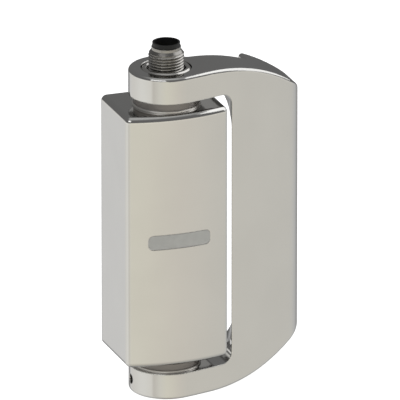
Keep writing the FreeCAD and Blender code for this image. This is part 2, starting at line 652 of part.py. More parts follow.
def draw_arm_shoulder(sketch):
    """What is cut from the upper outer corner: a long arc, ended by a smaller one."""
    top, flat = amount(ARM_TOP), amount("flat_run")
    large, small = amount("shoulder_radius"), amount("end_radius")
    reach, past = amount("end_reach"), amount("end_reach + end_radius")
    over = amount("arm_height / 2 + end_radius")
    up = Vector(0, 0, 1)
    large_middle = Vector(flat, top - large, 0)
    rise = math.sqrt((large - small) ** 2 - (reach - small - flat) ** 2)
    small_middle = Vector(reach - small, large_middle.y + rise, 0)
    way = small_middle - large_middle
    turn = math.atan2(way.y, way.x)
    long_arc = sketch.addGeometry(
        Part.ArcOfCircle(Part.Circle(large_middle, up, large), turn, math.pi / 2), False)
    end_arc = sketch.addGeometry(
        Part.ArcOfCircle(Part.Circle(small_middle, up, small), 0, turn), False)
    level = small_middle.y
    corners = [Vector(flat, top, 0), Vector(flat, over, 0), Vector(past, over, 0),
               Vector(past, level, 0), Vector(reach, level, 0)]
    lines = [sketch.addGeometry(Part.LineSegment(one, two), False)
             for one, two in zip(corners, corners[1:])]
    sketch.addConstraint(Sketcher.Constraint("Tangent", end_arc, 2, long_arc, 1))
    sketch.addConstraint(Sketcher.Constraint("Coincident", long_arc, 2, lines[0], 1))
    for one, two in zip(lines, lines[1:]):
        sketch.addConstraint(Sketcher.Constraint("Coincident", one, 2, two, 1))
    sketch.addConstraint(Sketcher.Constraint("Coincident", lines[3], 2, end_arc, 1))
    for kind, line in zip(("Vertical", "Horizontal", "Vertical", "Horizontal"), lines):
        sketch.addConstraint(Sketcher.Constraint(kind, line))
    fix(sketch, "Radius", "shoulder_radius", long_arc)
    fix(sketch, "Radius", "end_radius", end_arc)
    place(sketch, lines[0], 1, "flat_run", ARM_TOP)
    fix(sketch, "DistanceX", "flat_run", -1, 1, long_arc, 3)
    place(sketch, lines[2], 1, "end_reach + end_radius", "arm_height / 2 + end_radius")
    fix(sketch, "DistanceX", "end_reach - end_radius", -1, 1, end_arc, 3)
    sketch.addConstraint(Sketcher.Constraint("Horizontal", end_arc, 3, end_arc, 1))


def draw_rounded_end(sketch, left, right, half_height, radius):
    """A window that is open to the left, with round corners on the right."""
    low, high, bend = amount(left), amount(half_height), amount(radius)
    edge = amount(right)
    up = Vector(0, 0, 1)
    upper = Part.Circle(Vector(edge - bend, high - bend, 0), up, bend)
    lower = Part.Circle(Vector(edge - bend, bend - high, 0), up, bend)
    top_arc = sketch.addGeometry(Part.ArcOfCircle(upper, 0, math.pi / 2), False)
    low_arc = sketch.addGeometry(Part.ArcOfCircle(lower, -math.pi / 2, 0), False)
    corners = [Vector(edge - bend, high, 0), Vector(low, high, 0),
               Vector(low, -high, 0), Vector(edge - bend, -high, 0)]
    lines = [sketch.addGeometry(Part.LineSegment(one, two), False)
             for one, two in zip(corners, corners[1:])]
    inner = sketch.addGeometry(
        Part.LineSegment(Vector(edge, bend - high, 0), Vector(edge, high - bend, 0)), False)
    for one, end, two, start in ((top_arc, 2, lines[0], 1), (lines[2], 2, low_arc, 1),
                                 (low_arc, 2, inner, 1), (inner, 2, top_arc, 1)):
        sketch.addConstraint(Sketcher.Constraint("Tangent", one, end, two, start))
    for one, two in zip(lines, lines[1:]):
        sketch.addConstraint(Sketcher.Constraint("Coincident", one, 2, two, 1))
    for kind, line in zip(("Horizontal", "Vertical", "Horizontal", "Vertical"), lines + [inner]):
        sketch.addConstraint(Sketcher.Constraint(kind, line))
    sketch.addConstraint(Sketcher.Constraint("Equal", top_arc, low_arc))
    fix(sketch, "Radius", radius, top_arc)
    fix(sketch, "DistanceX", right, -1, 1, inner, 1)
    fix(sketch, "DistanceX", left, -1, 1, lines[1], 1)
    fix(sketch, "DistanceY", half_height, -1, 1, lines[0], 1)
    fix(sketch, "DistanceY", "-" + half_height, -1, 1, lines[2], 1)


def make_hinge_arm():
    """The C-shaped arm: one milled piece with two eyes, a web and a mounting leg."""
    arm = body("hinge_arm")
    plan = sketch_on(arm, "ArmPlan", "XY_Plane")
    draw_arm_plan(plan)
    pad(arm, plan, "ArmBlank", "arm_height")
    shoulder = sketch_on(arm, "ArmShoulder", "XZ_Plane")
    draw_arm_shoulder(shoulder)
    upper = pocket(arm, shoulder, "ArmShoulderCut", THROUGH)
    lower = arm.newObject("PartDesign::Mirrored", "ArmLowerShoulder")
    lower.Originals = [upper]
    lower.MirrorPlane = (origin_part(arm, "XY_Plane"), [""])
    arm.Tip = lower
    doc.recompute()
    window = sketch_on(arm, "ArmWindow", "XZ_Plane")
    draw_rounded_end(window, "-eye_dia", "web_side", BAR_IN, "window_radius")
    pocket(arm, window, "ArmWindowCut", THROUGH)
    relief = sketch_on(arm, "ArmRelief", "XZ_Plane")
    relief.AttachmentOffset = Placement(Vector(), Rotation(Vector(0, 1, 0), 1))
    bind(relief, "AttachmentOffset.Base.x", "web_side")
    bind(relief, "AttachmentOffset.Base.z", "relief_front")
    bind(relief, "AttachmentOffset.Rotation.Angle",
         "-atan2(hook_side - web_side; relief_back + relief_front)")
    draw_rounded_end(relief, "-eye_dia", "relief_skim", BAR_IN, "relief_radius")
    pocket(arm, relief, "ArmReliefCut", THROUGH)
    round_edges(arm, "ArmRounding", "edge_round", is_arm_outer_edge)
    turn_out(arm, "ArmSwingPath",
             [("body_width / 2", "-" + BODY_TOP), (SWING_REACH, "-" + BODY_TOP),
              (SWING_REACH, BODY_TOP), ("body_width / 2", BODY_TOP)])
    turn_out(arm, "ArmUpperBore",
             [("0", BAR_IN + " - cut_over"), (BUSH_OUT, BAR_IN + " - cut_over"),
              (BUSH_OUT, LIP_UNDER), (LIP_BORE, LIP_UNDER),
              (LIP_BORE, "arm_height / 2 + cut_over"), ("0", "arm_height / 2 + cut_over")])
    turn_out(arm, "ArmLowerBore",
             [("0", "-arm_height / 2 - cut_over"), (PIVOT_HOLE, "-arm_height / 2 - cut_over"),
              (PIVOT_HOLE, "-" + BAR_IN + " + cut_over"), ("0", "-" + BAR_IN + " + cut_over")])
    lock = sketch_on(arm, "ArmLockHole", "YZ_Plane")
    circle(lock, "0", SET_LEVEL, "set_core")
    pocket(arm, lock, "ArmLockHoleCut", "eye_dia", symmetric=False)
    threads = sketch_on(arm, "ArmMountThreads", "XZ_Plane", "-axis_depth")
    for step in ("-1.5", "-0.5", "0.5", "1.5"):
        circle(threads, "arm_mount_side", step + " * arm_mount_pitch", "mount_core")
    drill(arm, threads, "ArmMountDrill", "mount_core", "mount_depth")
    return arm


def is_arm_outer_edge(shape, edge):
    """Outer edges of the arm, but not the ones round its window."""
    point, normals = normals_at(shape, edge)
    if not is_corner(normals):
        return False
    on_rear = point.y > amount("axis_depth") - 0.01
    if all(abs(normal.z) < 0.01 for normal in normals):
        return on_rear
    beside_window = point.x < amount("hook_side") + 0.01 and not on_rear
    return abs(point.z) > amount(BAR_IN) + 0.01 or not beside_window


def make_switch_housing():
    """The hollow body, open at the rear, with the pivot bores above and below."""
    case = body("switch_housing")
    plan = sketch_on(case, "HousingPlan", "XY_Plane")
    draw_crowned(plan, "body_width / 2", BODY_REAR)
    pad(case, plan, "HousingBlank", "body_height")
    round_edges(case, "HousingRounding", "body_round", is_not_rear_edge)
    round_edges(case, "HousingRearRounding", "rear_round", is_rear_edge)
    lid = sketch_on(case, "HousingShelf", "XZ_Plane", "-axis_depth")
    rounded_slot(lid, "(cover_width / 2 + lid_gap)", "(cover_height / 2 + lid_gap)",
                 "cover_radius + lid_gap")
    pocket(case, lid, "HousingShelfCut", "axis_depth - " + SHELF, symmetric=False, reverse=True)
    hollow = sketch_on(case, "HousingCavity", "XZ_Plane", "-axis_depth")
    rounded_slot(hollow, "(cavity_width / 2)", CAVITY_TOP, "cavity_bend")
    pocket(case, hollow, "HousingCavityCut", "axis_depth + " + CAVITY_FRONT, symmetric=False, reverse=True)
    posts = sketch_on(case, "HousingPosts", "XZ_Plane", CAVITY_FRONT)
    for across, up in POSTS:
        circle(posts, across, up, "post_dia")
    pad(case, posts, "HousingPostPads", "post_height", symmetric=False, reverse=True)
    taps = sketch_on(case, "HousingPostTaps", "XZ_Plane", BOARD_FACE)
    for across, up in POSTS:
        circle(taps, across, up, "board_screw_dia")
    drill(case, taps, "HousingPostDrill", "board_screw_dia + 2 * hole_gap", "board_screw_length")
    pane = sketch_on(case, "HousingPane", "XZ_Plane")
    rounded_slot(pane, "(lens_width / 2 + hole_gap)", "(lens_height / 2 + hole_gap)", "lens_radius")
    pocket(case, pane, "HousingPaneCut", "body_width", symmetric=False, reverse=True)
    turn_out(case, "HousingUpperBore",
             [("0", CAVITY_TOP + " - cut_over"), (THREAD_HOLE, CAVITY_TOP + " - cut_over"),
              (THREAD_HOLE, SEAL_SEAT), ("sleeve_dia / 2 + hole_gap", SEAL_SEAT),
              ("sleeve_dia / 2 + hole_gap", "body_height / 2 + cut_over"),
              ("0", "body_height / 2 + cut_over")])
    turn_out(case, "HousingLowerBore",
             [("0", "-body_height / 2 - cut_over"),
              (LOWER_BUSH_HOLE, "-body_height / 2 - cut_over"),
              (LOWER_BUSH_HOLE, BUSH_END), ("pivot_dia / 2 + well_gap", BUSH_END),
              ("pivot_dia / 2 + well_gap", PIN_BORE_TOP), ("0", PIN_BORE_TOP)])
    screws = sketch_on(case, "HousingCoverTaps", "XZ_Plane", "-" + SHELF)
    for across, up in COVER_SCREWS:
        circle(screws, across, up, "cover_screw_dia")
    drill(case, screws, "HousingCoverDrill", "cover_screw_dia + 2 * hole_gap",
          "cover_screw_length - cover_thick")
    threads = sketch_on(case, "HousingMountThreads", "XZ_Plane", "-axis_depth")
    for across in ("-body_mount_across / 2", "body_mount_across / 2"):
        for up in ("-body_mount_span / 2", "body_mount_span / 2"):
            circle(threads, across, up, "mount_core")
    drill(case, threads, "HousingMountDrill", "mount_core", "mount_depth")
    return case


def is_rear_edge(shape, edge):
    """Edges that lie in the mounting plane."""
    return edge.BoundBox.YMin > amount("axis_depth") - 0.01


def is_not_rear_edge(shape, edge):
    """Edges that leave the mounting plane or lie in front of it."""
    return not is_rear_edge(shape, edge)


def draw_crowned(sketch, half_width, back):
    """A plan with straight sides and a front that is bowed like the body's."""
    side, rear = amount(half_width), amount(back)
    bow = amount(CROWN_RADIUS)
    middle = Vector(0, bow - amount(CROWN), 0)
    front = middle.y - math.sqrt(bow ** 2 - side ** 2)
    turn = math.asin(side / bow)
    ring = Part.Circle(middle, Vector(0, 0, 1), bow)
    start = -math.pi / 2
    arc = sketch.addGeometry(Part.ArcOfCircle(ring, start - turn, start + turn), False)
    corners = [Vector(side, front, 0), Vector(side, rear, 0), Vector(-side, rear, 0),
               Vector(-side, front, 0)]
    lines = [sketch.addGeometry(Part.LineSegment(one, two), False)
             for one, two in zip(corners, corners[1:])]
    sketch.addConstraint(Sketcher.Constraint("Coincident", arc, 2, lines[0], 1))
    sketch.addConstraint(Sketcher.Constraint("Coincident", lines[0], 2, lines[1], 1))
    sketch.addConstraint(Sketcher.Constraint("Coincident", lines[1], 2, lines[2], 1))
    sketch.addConstraint(Sketcher.Constraint("Coincident", lines[2], 2, arc, 1))
    for kind, line in zip(("Vertical", "Horizontal", "Vertical"), lines):
        sketch.addConstraint(Sketcher.Constraint(kind, line))
    place(sketch, lines[1], 1, half_width, back)
    fix(sketch, "DistanceX", "-" + half_width, -1, 1, lines[2], 1)
    fix(sketch, "Radius", CROWN_RADIUS, arc)
    place(sketch, arc, 3, "0", "(" + CROWN_RADIUS + ") - " + CROWN)


def make_rear_cover():
    """Flat plate that closes the electronics from behind."""
    plate = body("rear_cover")
    face = sketch_on(plate, "CoverPlan", "XZ_Plane", "-" + COVER_FACE)
    rounded_slot(face, "(cover_width / 2)", "(cover_height / 2)", "cover_radius")
    pad(plate, face, "CoverPad", "cover_thick", symmetric=False)
    holes = sketch_on(plate, "CoverHoles", "XZ_Plane", "-" + COVER_FACE)
    for across, up in COVER_SCREWS:
        circle(holes, across, up, "cover_screw_dia")
    sunk = drill(plate, holes, "CoverDrill", "cover_screw_dia + 4 * hole_gap", "cover_thick + cut_over")
    sunk.HoleCutType = "Countersink"
    bind(sunk, "HoleCutCountersinkAngle", "sunk_angle")
    bind(sunk, "HoleCutDiameter", "cover_head_dia + 4 * hole_gap")
    doc.recompute()
    return plate


def make_cover_gasket():
    """Flat seal on the shelf under the cover."""
    seal = body("cover_gasket")
    face = sketch_on(seal, "GasketPlan", "XZ_Plane", "-" + SHELF)
    rounded_slot(face, "(cover_width / 2)", "(cover_height / 2)", "cover_radius")
    rounded_slot(face, "(cavity_width / 2)", CAVITY_TOP, "cavity_bend")
    for across, up in COVER_SCREWS:
        circle(face, across, up, "cover_screw_dia + 4 * hole_gap")
    pad(seal, face, "GasketPad", "gasket_thick", symmetric=False, reverse=True)
    return seal


def hexagon(sketch, across_flats):
    """Draw a hexagon about the sketch's origin."""
    corners = []
    for turn in range(6):
        angle = "(%d deg)" % (60 * turn)
        reach = "(" + across_flats + ") / 2 / cos(30 deg)"
        corners.append((reach + " * cos" + angle, reach + " * sin" + angle))
    outline(sketch, corners)


def hexagon_socket(owner, name, level, across_flats, depth):
    """A hexagon socket sunk from the top of a screw that stands on its own Z axis."""
    face = sketch_on(owner, name + "Face", "XY_Plane", level)
    hexagon(face, across_flats)
    pocket(owner, face, name + "Socket", depth, symmetric=False)


def make_cover_screws():
    """Countersunk screws of the rear cover."""
    screw = doc.addObject("PartDesign::Body", "CoverScrew")
    rim = "cover_head_dia / 2"
    shank = "cover_screw_dia / 2"
    turn_up(screw, "CoverScrewTurning",
            [("0", "-cover_screw_length"), (shank, "-cover_screw_length"),
             (shank, "-(cover_head_dia - cover_screw_dia) / 2"), (rim, "0"), ("0", "0")])
    hexagon_socket(screw, "CoverScrew", "0", "small_socket", "small_socket_depth")
    places = [(across, "axis_depth - cover_sink", up) for across, up in COVER_SCREWS]
    return copies("cover_screws", screw, places, TURN_TO_REAR)


def make_board_screws():
    """Cheese-head screws of the main board."""
    screw = doc.addObject("PartDesign::Body", "BoardScrew")
    turn_up(screw, "BoardScrewTurning",
            [("0", "-board_screw_length"), ("board_screw_dia / 2", "-board_screw_length"),
             ("board_screw_dia / 2", "0"), ("board_head_dia / 2", "0"),
             ("board_head_dia / 2", "board_head"), ("0", "board_head")])
    hexagon_socket(screw, "BoardScrew", "board_head", "small_socket", "small_socket_depth")
    places = [(across, "-" + BOARD_REAR, up) for across, up in POSTS]
    return copies("board_screws", screw, places, TURN_TO_REAR)


def make_status_window():
    """Translucent pane with a bowed face and a lip that rests inside the front wall."""
    pane = body("status_window")
    plan = sketch_on(pane, "PanePlan", "XY_Plane")
    draw_crowned(plan, "(lens_width / 2)", "-" + CAVITY_FRONT)
    pad(pane, plan, "PaneBlank", "lens_height")
    round_edges(pane, "PaneRounding", "lens_radius", is_along_depth)
    lip = sketch_on(pane, "PaneLip", "XZ_Plane", CAVITY_FRONT)
    rounded_slot(lip, "(lens_width / 2 + lens_lip / 2)", "(lens_height / 2 + lens_lip)",
                 "(lens_radius + lens_lip / 2)")
    pad(pane, lip, "PaneLipPad", "lens_flange", symmetric=False, reverse=True)
    return pane


def is_along_depth(shape, edge):
    """Straight edges that run from front to back."""
    return abs(edge.tangentAt(edge.FirstParameter).y) > 0.999


def make_main_board():
    """Main circuit board on its four posts."""
    board = body("main_board")
    face = sketch_on(board, "MainBoardFace", "XZ_Plane", BOARD_REAR)
    outline(face, [("-board_width / 2", "-board_drop"), ("board_width / 2", "-board_drop"),
                   ("board_width / 2", "board_top"), ("-board_width / 2", "board_top")])
    for across, up in POSTS:
        circle(face, across, up, "board_screw_dia + 4 * hole_gap")
    pad(board, face, "MainBoardPad", "board_thick", symmetric=False)
    return board


def make_status_lamps():
    """Lamps on the front of the main board, behind the window."""
    lamps = []
    for step in ("-1", "0", "1"):
        corner = (step + " * lamp_pitch - lamp_width / 2", "-" + BOARD_FACE + " - lamp_depth",
                  "-lamp_height / 2")
        lamps.append(block("StatusLamp%d" % (len(lamps) + 1), corner,
                           ("lamp_width", "lamp_depth", "lamp_height")))
    return group("status_lamps", lamps)


def make_logic_chips():
    """Two logic chips that watch each other, on the rear of the main board."""
    chips = []
    for step in ("-1", "1"):
        corner = ("-chip_side / 2", "-" + BOARD_REAR, step + " * chip_lift - chip_side / 2")
        chips.append(block("LogicChip%d" % (len(chips) + 1), corner,
                           ("chip_side", "chip_thick", "chip_side")))
    return group("logic_chips", chips)


def make_sensor_board():
    """Small level board over the closed end of the pivot bore."""
    corner = ("-sense_board_width / 2", "-" + BOARD_REAR, "-cavity_height / 2 + sense_thick")
    board = block("sensor_board", corner, ("sense_board_width", "sense_board_depth", "board_thick"))
    board.Label = "sensor_board"
    return board


def make_angle_sensors():
    """Two magnetic angle sensors under that board."""
    chips = []
    for step in ("-0.5", "0.5"):
        corner = (step + " * sense_pitch - sense_side / 2", "-sense_side / 2", "-cavity_height / 2")
        chips.append(block("AngleSensor%d" % (len(chips) + 1), corner,
                           ("sense_side", "sense_side", "sense_thick")))
    return group("angle_sensors", chips)


def make_cable_socket():
    """Socket of the ribbon cable, on the rear of the main board."""
    corner = ("-socket_width / 2", "-" + BOARD_REAR, "socket_lift - socket_height / 2")
    socket = block("cable_socket", corner, ("socket_width", "socket_depth", "socket_height"))
    socket.Label = "cable_socket"
    return socket


def make_ribbon_cable():
    """Flat cable from the plug's board down the hollow sleeve to the main board."""
    ribbon = body("ribbon_cable")
    path = sketch_on(ribbon, "RibbonSide", "YZ_Plane")
    front = "(ribbon_back - ribbon_thick / 2)"
    back = "(ribbon_back + ribbon_thick / 2)"
    upper = "(socket_lift + ribbon_thick / 2)"
    lower = "(socket_lift - ribbon_thick / 2)"
    end = "(socket_depth - " + BOARD_REAR + ")"
    top = PLUG_BOARD_UNDER
    turn_y = front + " - ribbon_bend"
    turn_z = upper + " + ribbon_bend"
    bend, thick = amount("ribbon_bend"), amount("ribbon_thick")
    middle = Vector(amount(turn_y), amount(turn_z), 0)
    up = Vector(0, 0, 1)
    inner = path.addGeometry(
        Part.ArcOfCircle(Part.Circle(middle, up, bend), -math.pi / 2, 0), False)
    outer = path.addGeometry(
        Part.ArcOfCircle(Part.Circle(middle, up, bend + thick), -math.pi / 2, 0), False)
    front_y, back_y, end_y, top_z = amount(front), amount(back), amount(end), amount(top)
    upper_z, lower_z = amount(upper), amount(lower)
    inner_fall = path.addGeometry(
        Part.LineSegment(Vector(front_y, top_z, 0), Vector(front_y, middle.y, 0)), False)
    inner_run = path.addGeometry(
        Part.LineSegment(Vector(middle.x, upper_z, 0), Vector(end_y, upper_z, 0)), False)
    tip = path.addGeometry(
        Part.LineSegment(Vector(end_y, upper_z, 0), Vector(end_y, lower_z, 0)), False)
    outer_run = path.addGeometry(
        Part.LineSegment(Vector(end_y, lower_z, 0), Vector(middle.x, lower_z, 0)), False)
    outer_fall = path.addGeometry(
        Part.LineSegment(Vector(back_y, middle.y, 0), Vector(back_y, top_z, 0)), False)
    cap = path.addGeometry(
        Part.LineSegment(Vector(back_y, top_z, 0), Vector(front_y, top_z, 0)), False)
    for one, one_end, two, two_end in ((inner_fall, 2, inner, 2), (inner, 1, inner_run, 1),
                                       (outer_run, 2, outer, 1), (outer, 2, outer_fall, 1)):
        path.addConstraint(Sketcher.Constraint("Tangent", one, one_end, two, two_end))
    for one, one_end, two, two_end in ((inner_run, 2, tip, 1), (tip, 2, outer_run, 1),
                                       (outer_fall, 2, cap, 1), (cap, 2, inner_fall, 1)):
        path.addConstraint(Sketcher.Constraint("Coincident", one, one_end, two, two_end))
    for kind, line in (("Vertical", inner_fall), ("Vertical", outer_fall), ("Vertical", tip),
                       ("Horizontal", inner_run), ("Horizontal", outer_run), ("Horizontal", cap)):
        path.addConstraint(Sketcher.Constraint(kind, line))
    fix(path, "Radius", "ribbon_bend", inner)
    fix(path, "Radius", "ribbon_bend + ribbon_thick", outer)
    place(path, cap, 2, front, top)
    fix(path, "DistanceX", back, -1, 1, cap, 1)
    place(path, tip, 1, end, upper)
    fix(path, "DistanceY", lower, -1, 1, tip, 2)
    pad(ribbon, path, "RibbonPad", "ribbon_width")
    return ribbon


def make_pivot_sleeve():
    """Hollow upper pivot, fixed in the body: the arm turns on it, the plug sits in it."""
    sleeve = body("pivot_sleeve")
    turn_up(sleeve, "SleeveTurning",
            [("sleeve_mouth / 2 + mouth_bevel", SLEEVE_TOP),
             ("sleeve_dia / 2 - sleeve_bevel", SLEEVE_TOP),
             ("sleeve_dia / 2", SLEEVE_TOP + " - sleeve_bevel"),
             ("sleeve_dia / 2", SLEEVE_STEP), ("sleeve_thread_dia / 2", SLEEVE_STEP),
             ("sleeve_thread_dia / 2", SLEEVE_END), ("sleeve_bore / 2", SLEEVE_END),
             ("sleeve_bore / 2", MOUTH_FLOOR), ("sleeve_mouth / 2", MOUTH_FLOOR),
             ("sleeve_mouth / 2", SLEEVE_TOP + " - mouth_bevel")])
    return sleeve


def make_sleeve_nut():
    """Slotted round nut that clamps the sleeve from inside the body."""
    nut = body("sleeve_nut")
    turn_up(nut, "NutTurning",
            [(THREAD_HOLE, CAVITY_TOP + " - nut_height"), ("nut_dia / 2", CAVITY_TOP + " - nut_height"),
             ("nut_dia / 2", CAVITY_TOP), (THREAD_HOLE, CAVITY_TOP)])
    face = sketch_on(nut, "NutSlot", "XY_Plane", CAVITY_TOP + " - nut_height")
    outline(face, [("nut_dia / 2 - nut_slot_depth", "-nut_slot / 2"),
                   ("nut_dia / 2 + cut_over", "-nut_slot / 2"),
                   ("nut_dia / 2 + cut_over", "nut_slot / 2"),
                   ("nut_dia / 2 - nut_slot_depth", "nut_slot / 2")])
    slot = pocket(nut, face, "NutSlotCut", "nut_height", symmetric=False, reverse=True)
    ring_of(nut, "NutSlots", slot, "nut_slots")
    return nut


def make_connector_shell():
    """Threaded plug shell; the thread is drawn at its outside diameter."""
    shell = body("connector_shell")
    inside = "insert_dia / 2 + hole_gap"
    turn_up(shell, "ShellTurning",
            [(inside, SHELL_END), (SPIGOT, SHELL_END), (SPIGOT, SHELL_FLANGE),
             ("flange_dia / 2", SHELL_FLANGE), ("flange_dia / 2", SHELL_FLANGE + " + plug_flange"),
             ("plug_neck / 2", SHELL_FLANGE + " + plug_flange"), ("plug_neck / 2", SLEEVE_TOP),
             ("plug_dia / 2", SLEEVE_TOP), ("plug_dia / 2", SLEEVE_TOP + " + plug_thread"),
             (inside + " + plug_rim", SLEEVE_TOP + " + plug_thread + plug_lead"),
             (inside + " + plug_rim", SLEEVE_TOP + " + plug_thread + plug_lead + plug_tip"),
             (inside, SLEEVE_TOP + " + plug_thread + plug_lead + plug_tip")])
    return shell


def make_connector_insert():
    """Contact carrier: a deep cup with a coding key and a hole for each pin."""
    carrier = body("connector_insert")
    turn_up(carrier, "InsertTurning",
            [("0", INSERT_END), ("insert_dia / 2", INSERT_END), ("insert_dia / 2", INSERT_TOP),
             ("cup_dia / 2", INSERT_TOP), ("cup_dia / 2", CUP_FLOOR), ("0", CUP_FLOOR)])
    rib = sketch_on(carrier, "InsertKey", "XY_Plane", CUP_FLOOR)
    outline(rib, [("-key_width / 2", "-cup_dia / 2 - key_root"),
                  ("key_width / 2", "-cup_dia / 2 - key_root"),
                  ("key_width / 2", "-cup_dia / 2 + key_depth"),
                  ("-key_width / 2", "-cup_dia / 2 + key_depth")])
    pad(carrier, rib, "InsertKeyPad", "cup_depth - key_sink", symmetric=False)
    pin_holes(carrier, "Insert", CUP_FLOOR, "insert_length", "pin_dia + 2 * hole_gap")
    return carrier


def pin_holes(owner, name, level, depth, diameter):
    """A hole for the middle pin and for each pin of the ring, cut downwards."""
    middle = sketch_on(owner, name + "MiddleHole", "XY_Plane", level)
    circle(middle, "0", "0", diameter)
    pocket(owner, middle, name + "MiddleHoleCut", depth, symmetric=False)
    side = sketch_on(owner, name + "RingHole", "XY_Plane", level)
    circle(side, "pin_circle / 2", "0", diameter)
    first = pocket(owner, side, name + "RingHoleCut", depth, symmetric=False)
    ring_of(owner, name + "RingHoles", first, "pin_ring_count")


def make_contact_pins():
    """Contact pins: one in the middle and a ring round it."""
    pin = doc.addObject("PartDesign::Body", "ContactPin")
    radius = "pin_dia / 2"
    turn_up(pin, "ContactPinTurning",
            [("0", PIN_FOOT), (radius, PIN_FOOT), (radius, PIN_TIP + " - pin_dia / 4"),
             ("pin_dia / 4", PIN_TIP), ("0", PIN_TIP)])
    places = [("0", "0", "0")]
    for number in range(int(amount("pin_ring_count"))):
        turn = "(%d * 360 deg / pin_ring_count)" % number
        places.append(("pin_circle / 2 * cos" + turn, "pin_circle / 2 * sin" + turn, "0"))
    return copies("contact_pins", pin, places, Rotation())


def make_connector_board():
    """Round board under the contact carrier."""
    board = body("connector_board")
    face = sketch_on(board, "PlugBoardFace", "XY_Plane", INSERT_END)
    circle(face, "0", "0", "plug_board_dia")
    pad(board, face, "PlugBoardPad", "board_thick", symmetric=False, reverse=True)
    pin_holes(board, "PlugBoard", INSERT_END, "board_thick", "pin_dia + 2 * hole_gap")
    return board


def make_pivot_pin():
    """Lower pivot, fixed in the arm, with its seal groove, magnet seat and setting slot."""
    pin = body("pivot_pin")
    radius = "pivot_dia / 2"
    low = PIN_LOW
    turn_up(pin, "PinTurning",
            [("0", low), (radius + " - pin_chamfer", low), (radius, low + " + pin_chamfer"),
             (radius, GROOVE_LOW), (radius + " - groove_depth", GROOVE_LOW),
             (radius + " - groove_depth", GROOVE_HIGH), (radius, GROOVE_HIGH),
             (radius, PIN_TOP + " - pin_chamfer"), (radius + " - pin_chamfer", PIN_TOP),
             ("magnet_dia / 2 + hole_gap", PIN_TOP),
             ("magnet_dia / 2 + hole_gap", PIN_TOP + " - magnet_height"),
             ("0", PIN_TOP + " - magnet_height")])
    face = sketch_on(pin, "PinSlot", "XY_Plane", low)
    outline(face, [("-pivot_dia", "-pivot_slot / 2"), ("pivot_dia", "-pivot_slot / 2"),
                   ("pivot_dia", "pivot_slot / 2"), ("-pivot_dia", "pivot_slot / 2")])
    pocket(pin, face, "PinSlotCut", "slot_depth", symmetric=False, reverse=True)
    return pin


def make_pin_set_screw():
    """Headless screw that locks the pin at the chosen switching angle."""
    screw = body("pin_set_screw")
    face = sketch_on(screw, "SetScrewFace", "YZ_Plane", "-pivot_dia / 2")
    circle(face, "0", SET_LEVEL, "set_core - 2 * hole_gap")
    pad(screw, face, "SetScrewPad", "set_length", symmetric=False, reverse=True)
    mouth = sketch_on(screw, "SetScrewMouth", "YZ_Plane", "-pivot_dia / 2 - set_length")
    bind(mouth, "AttachmentOffset.Base.y", SET_LEVEL)
    hexagon(mouth, "set_socket")
    pocket(screw, mouth, "SetScrewSocket", "set_socket_depth", symmetric=False, reverse=True)
    return screw


nodes = [
    make_switch_housing(),
    make_rear_cover(),
    make_cover_gasket(),
    make_cover_screws(),
    make_status_window(),
    make_status_lamps(),
    make_main_board(),
    make_board_screws(),
    make_logic_chips(),
    make_cable_socket(),
    make_ribbon_cable(),
    make_sensor_board(),
    make_angle_sensors(),
    make_pivot_sleeve(),
    ring_seal("sleeve_seal", "(sleeve_thread_dia + sleeve_dia) / 4", SLEEVE_STEP + " - seal_wire / 2",
              "seal_wire"),
    make_sleeve_nut(),
    footed_collar("upper_collar", "sleeve_dia / 2 + hole_gap", BODY_TOP, UPPER_FLANGE + " - face_gap"),
    make_connector_shell(),
    ring_seal("connector_seal", "(" + SPIGOT + " + sleeve_mouth / 2) / 2", MOUTH_FLOOR + " + seal_wire / 2",
              "seal_wire"),
    make_connector_insert(),
    make_contact_pins(),
    make_connector_board(),
    turned("lower_bush",
           [(PIVOT_RUN, "-body_height / 2 - flange_thick"),
            (FLANGE_EDGE, "-body_height / 2 - flange_thick"),
            (FLANGE_EDGE, "-body_height / 2"), (PIVOT_RUN + " + bush_wall", "-body_height / 2"),
            (PIVOT_RUN + " + bush_wall", BUSH_END), (PIVOT_RUN, BUSH_END)]),
    make_hinge_arm(),
    turned("upper_bush",
           [(SLEEVE_RUN, UPPER_FLANGE), (FLANGE_EDGE, UPPER_FLANGE), (FLANGE_EDGE, BAR_IN),
            (SLEEVE_RUN + " + bush_wall", BAR_IN), (SLEEVE_RUN + " + bush_wall", UPPER_BUSH_TOP),
            (SLEEVE_RUN, UPPER_BUSH_TOP)]),
    ring_seal("upper_seal", "sleeve_dia / 2 + seal_gap + " + UPPER_SEAL_WIRE + " / 2",
              UPPER_BUSH_TOP + " + " + UPPER_SEAL_WIRE + " / 2", UPPER_SEAL_WIRE),
    footed_collar("lower_collar", PIVOT_HOLE, "-" + BAR_IN, "-body_height / 2 - flange_thick - face_gap"),
    make_pivot_pin(),
    ring_seal("pivot_seal", "pivot_dia / 2 - groove_depth + " + PIN_SEAL_WIRE + " / 2",
              PIN_TOP + " - groove_drop", PIN_SEAL_WIRE),
    turned("actuator_magnet",
           [("0", PIN_TOP + " - magnet_height"), ("magnet_dia / 2", PIN_TOP + " - magnet_height"),
            ("magnet_dia / 2", PIN_TOP), ("0", PIN_TOP)]),
    make_pin_set_screw(),
]
doc.recompute()

for thing in doc.Objects:
    if "Invalid" in thing.State or "Error" in thing.State:
        raise RuntimeError("%s did not build: %s" % (thing.Label, thing.State))
for node in nodes:
    if node.Shape.isNull() or not node.Shape.isValid() or not node.Shape.Solids:
        raise RuntimeError("%s has no valid solid" % node.Label)
os.makedirs("parts", exist_ok=True)
for node in nodes:
    node.Shape.exportStep("parts/%s.step" % node.Label)
    print("%-18s %2d solids %10.2f mm3" % (node.Label, len(node.Shape.Solids), node.Shape.Volume))
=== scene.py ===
import json
import math

